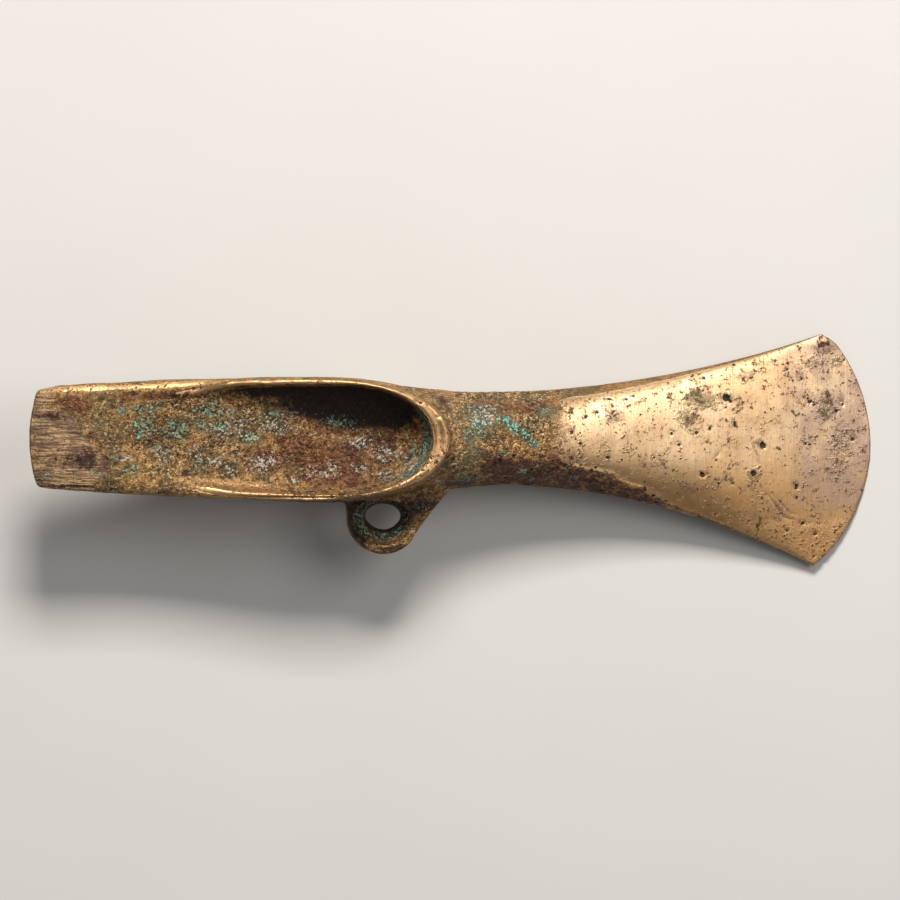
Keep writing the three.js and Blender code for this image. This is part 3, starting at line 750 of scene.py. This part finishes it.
def bronze():
    """Old bronze: gold where it was ground and handled, brown, red and green where it was not."""
    paint = Paint("old_bronze")
    grit = paint.noise(0.24, 2.0)
    grain = paint.noise(0.6, 3.0)
    fleck = paint.noise(1.5, 4.0)
    patch = paint.noise(4.5, 5.0)
    cloud = paint.noise(14.0, 3.0)
    scratch = paint.noise(0.2, 2.0, stretch=(1, 30, 30))
    streak = paint.noise(0.34, 4.0, stretch=(13, 1, 12), twist=0.7)
    pebble, chance = paint.grains(0.42)
    spot, spot_chance = paint.grains(2.1)
    mottle = (grain - 0.5) * 1.6 + (fleck - 0.5) * 1.9
    speckle = (grit - 0.5) * 1.9 + (grain - 0.5) * 1.6
    cast = (chance - 0.5) * 0.62 + speckle * 0.8

    pit = paint.mask("pit")
    polish = paint.mask("polish")
    butt = paint.mask("butt")
    wear = paint.mask("wear")
    rugged = paint.mask("rugged")

    # Brown bronze that was never polished
    skin = paint.mix(cloud.between(0.35, 0.65), colour(144, 102, 57), colour(176, 134, 80))
    skin = paint.mix(patch.between(0.42, 0.6) * 0.8, skin, colour(100, 86, 54))
    skin = paint.mix(patch.between(0.52, 0.36) * rugged * 0.5, skin, colour(190, 146, 88))
    skin = paint.mix(mottle.between(0.0, 0.4) * 0.75, skin, colour(88, 58, 34))
    skin = paint.mix(cast.between(0.06, 0.4) * (rugged * 0.6 + 0.25), skin, colour(232, 202, 154))
    skin = paint.mix(cast.between(-0.06, -0.4) * (rugged * 0.5 + 0.4), skin, colour(44, 30, 20))

    # Gold metal where it was ground, darker towards the blade's -y side as painted shade
    gold = paint.mix(cloud.between(0.3, 0.7), colour(210, 175, 131), colour(226, 196, 156))
    gold = paint.mix(paint.mask("dim_gold_and_shade") * 0.8, gold, colour(190, 144, 90))
    gold = paint.mix(patch.between(0.46, 0.66) * 0.5, gold, colour(176, 140, 104))
    gold = paint.mix(scratch.between(0.5, 0.72) * 0.3, gold, colour(168, 126, 84))
    gold = paint.mix(speckle.between(0.12, 0.5) * 0.5, gold, colour(150, 112, 76))
    gold = paint.mix(paint.mask("mauve") * patch.between(0.25, 0.6) * 0.85, gold, colour(172, 144, 126))
    bare = (polish * 1.1 + wear * 0.45 + (patch - 0.5) * 0.7 + mottle * 0.4).between(0.3, 0.7)
    tone = paint.mix(bare, skin, gold)

    # The striated butt
    bleached = paint.mix(streak.between(0.4, 0.58), colour(108, 78, 58), colour(216, 182, 140))
    bleached = paint.mix(patch.between(0.46, 0.6) * 0.65, bleached, colour(118, 88, 78))
    bleached = paint.mix(speckle.between(0.1, 0.5) * 0.5, bleached, colour(84, 62, 44))
    worn_butt = (butt + mottle * 0.9 + (patch - 0.5) * 1.2).between(0.15, 0.95)
    tone = paint.mix(worn_butt * 0.8, tone, bleached)

    # Red cuprite, tarnish, and dark crust, where the dark mask also carries painted shade
    red = (paint.mask("red") * 0.85 + mottle * 0.8 + cast * 0.4).between(0.3, 0.85)
    rust = paint.mix(cast.between(-0.35, 0.35), colour(58, 28, 18), colour(144, 78, 46))
    tone = paint.mix(red * 0.8, tone, rust)
    tarnish = (paint.mask("tarnish") * 0.8 + mottle * 0.9 + (patch - 0.5) * 0.9 + speckle * 0.6)
    stain = paint.mix(speckle.between(-0.3, 0.3), colour(104, 78, 60), colour(150, 122, 102))
    tone = paint.mix(tarnish.between(0.34, 1.05) * 0.8, tone, stain)
    dark = paint.mask("dark")
    crusted = paint.mix(cast.between(-0.3, 0.4), colour(36, 22, 16), colour(98, 58, 36))
    tone = paint.mix((dark * 0.9 + mottle * 0.9 + cast * 0.3).between(0.38, 0.85) * 0.9, tone, crusted)

    # Grey-green film, near-black painted shade, verdigris, and pale crust on the floor of the recess
    olive = paint.mask("olive")
    olive = olive.between(0, 0.5) * (olive + mottle * 0.6 + (patch - 0.5) * 0.8).between(0.1, 1.2)
    tone = paint.mix(olive * 0.6, tone, colour(122, 114, 84))
    # Near black where the dark mask is strongest: painted shade on the recess's upper wall and round the
    # loop, and the darkest crust
    deep = (dark + mottle * 0.25).between(0.8, 1.12)
    tone = paint.mix(deep * 0.85, tone, colour(20, 14, 11))
    green = (paint.mask("green") * 0.95 + cast * 0.9 + (fleck - 0.5) * 1.2).between(0.62, 1.0)
    verdigris = paint.mix(cast.between(-0.2, 0.4), colour(74, 98, 76), colour(146, 172, 146))
    tone = paint.mix(green * 0.8, tone, verdigris)
    bright_green = paint.mask("bright_green") * 0.85 + cast * 0.9 + (fleck - 0.5) * 1.2
    bright_green = bright_green.between(0.62, 0.95)
    turquoise = paint.mix(cast.between(-0.2, 0.4), colour(46, 106, 92), colour(140, 200, 178))
    tone = paint.mix(bright_green * 0.95, tone, turquoise)
    pale = (paint.mask("pale") * 0.78 + cast * 1.1 - pebble * 0.25).between(0.52, 0.85)
    tone = paint.mix(pale * 0.85, tone, paint.mix(chance, colour(150, 152, 138), colour(212, 206, 192)))

    # Freckles and dirt, dark in the pits and furrows
    freckle = speckle.between(0.36, 0.52) * (patch + paint.mask("tarnish") * 0.4).between(0.44, 0.7) * bare
    spots = (spot_chance * 0.36 - spot + speckle * 0.16).between(0.22, 0.27) * bare
    sunk = pit.between(0.15, 0.55) * (1 - rugged * 0.7) * (1 - butt * 0.8)
    tone = paint.mix(freckle.most(sunk).most(spots) * 0.85, tone, colour(50, 36, 26))
    tone = paint.mix(paint.mask("cranny") * 0.5, tone, colour(44, 32, 22))

    crust = green.most(pale).most(bright_green).most(dark * 0.7)
    crust = crust.most(red * 0.7).most(pit * 0.8).most(olive * 0.4)
    dull = (1 - bare).most(crust)
    rough = 0.5 + dull * 0.12 + crust * 0.1 + (fleck - 0.5) * 0.25 + (scratch - 0.5) * bare * 0.1
    metal = 1 - crust * 0.6 - (1 - bare) * 0.35

    rise = grit * 0.8 + grain * 1.2 + fleck * 0.9
    rise = rise * (crust * 0.7 + dull * 0.8 + 0.05) - pebble * rugged * (1 - bare) * 0.7
    rise = rise + scratch * bare * 0.14 + streak * worn_butt * 1.5
    settings = {"Height": rise, "Strength": 0.9, "Distance": 0.32 * MM}
    bump = paint.add("ShaderNodeBump", None, settings)

    paint.put(paint.shader.inputs["Base Color"], tone)
    paint.put(paint.shader.inputs["Roughness"], rough)
    paint.put(paint.shader.inputs["Metallic"], metal)
    paint.put(paint.shader.inputs["Normal"], bump)
    return paint.material


def table_top():
    paint = Paint("pale_table")
    cloud = paint.noise(60.0, 3.0)
    tone = paint.mix(cloud, colour(204, 202, 198), colour(210, 208, 204))
    paint.put(paint.shader.inputs["Base Color"], tone)
    paint.put(paint.shader.inputs["Roughness"], 0.8)
    return paint.material


# ---- The axe ----

def thin_out(piece):
    """Cuts the faces down to the number wanted."""
    triangles = sum(len(face.vertices) - 2 for face in piece.data.polygons)
    if triangles > TRIANGLES:
        apply_modifier(piece, "DECIMATE", ratio=TRIANGLES / triangles)


def bronze_axe():
    face_size = FACE_SIZE
    piece = bare_casting(face_size)
    skin = Skin(piece.data)
    ease_facets(skin)
    skin.lift(surface_height(skin))
    skin.write()
    work_pits_in(skin)
    skin.write()
    thin_out(piece)
    paint_patina(Skin(piece.data))
    select_only(piece)
    bpy.ops.object.shade_smooth()
    piece.data.materials.append(bronze())
    return piece


axe = bronze_axe()
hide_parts("axe_head")
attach(axe, "root")


# ---- Table, light and camera, in metres ----

TABLE_SIZE = 30
VIEW_WIDTH = 0.1748
VIEW_SHIFT = -0.0001
CAMERA_HEIGHT = 4.0
NEAREST_SEEN = 0.01
SENSOR = 36.0
ROOM_LIGHT = (0.9, 0.93, 1.0, 1)
ROOM_STRENGTH = 0.14

bpy.ops.object.select_all(action="DESELECT")
bpy.ops.mesh.primitive_plane_add(size=TABLE_SIZE, location=(0, 0, cad_low.z))
table = bpy.context.object
table.name = "table"
table.data.materials.append(table_top())


def area_light(name, size, power, place, aim=(0, 0, 0.01), tint=(1, 1, 1)):
    lamp = bpy.data.lights.new(name, "AREA")
    lamp.shape = "RECTANGLE"
    lamp.size, lamp.size_y = size
    lamp.energy = power
    lamp.color = tint
    holder = bpy.data.objects.new(name, lamp)
    bpy.context.scene.collection.objects.link(holder)
    holder.location = place
    holder.visible_camera = False
    direction = Vector(aim) - Vector(place)
    holder.rotation_euler = direction.to_track_quat("-Z", "Y").to_euler()


area_light("key", (0.3, 0.2), 8.6, (0.02, 0.58, 0.6), tint=(1, 0.96, 0.91))
area_light("sheen", (0.6, 0.5), 3.6, (0.55, 0.22, 0.9), tint=(1, 0.98, 0.96))
area_light("fill", (0.6, 0.4), 0.2, (-0.2, -0.6, 0.5))

world = bpy.data.worlds.new("studio")
world.use_nodes = True
world.node_tree.nodes["Background"].inputs["Color"].default_value = ROOM_LIGHT
world.node_tree.nodes["Background"].inputs["Strength"].default_value = ROOM_STRENGTH
bpy.context.scene.world = world
bpy.context.scene.view_settings.view_transform = "Standard"

lens = bpy.data.cameras.new("camera")
camera = bpy.data.objects.new("camera", lens)
bpy.context.scene.collection.objects.link(camera)
lens.sensor_width = SENSOR
lens.lens = SENSOR * CAMERA_HEIGHT / VIEW_WIDTH
lens.clip_start = NEAREST_SEEN
axe_middle = (cad_low + cad_high) / 2
camera.location = (axe_middle.x + VIEW_SHIFT, axe_middle.y, axe_middle.z + CAMERA_HEIGHT)
bpy.context.scene.camera = camera
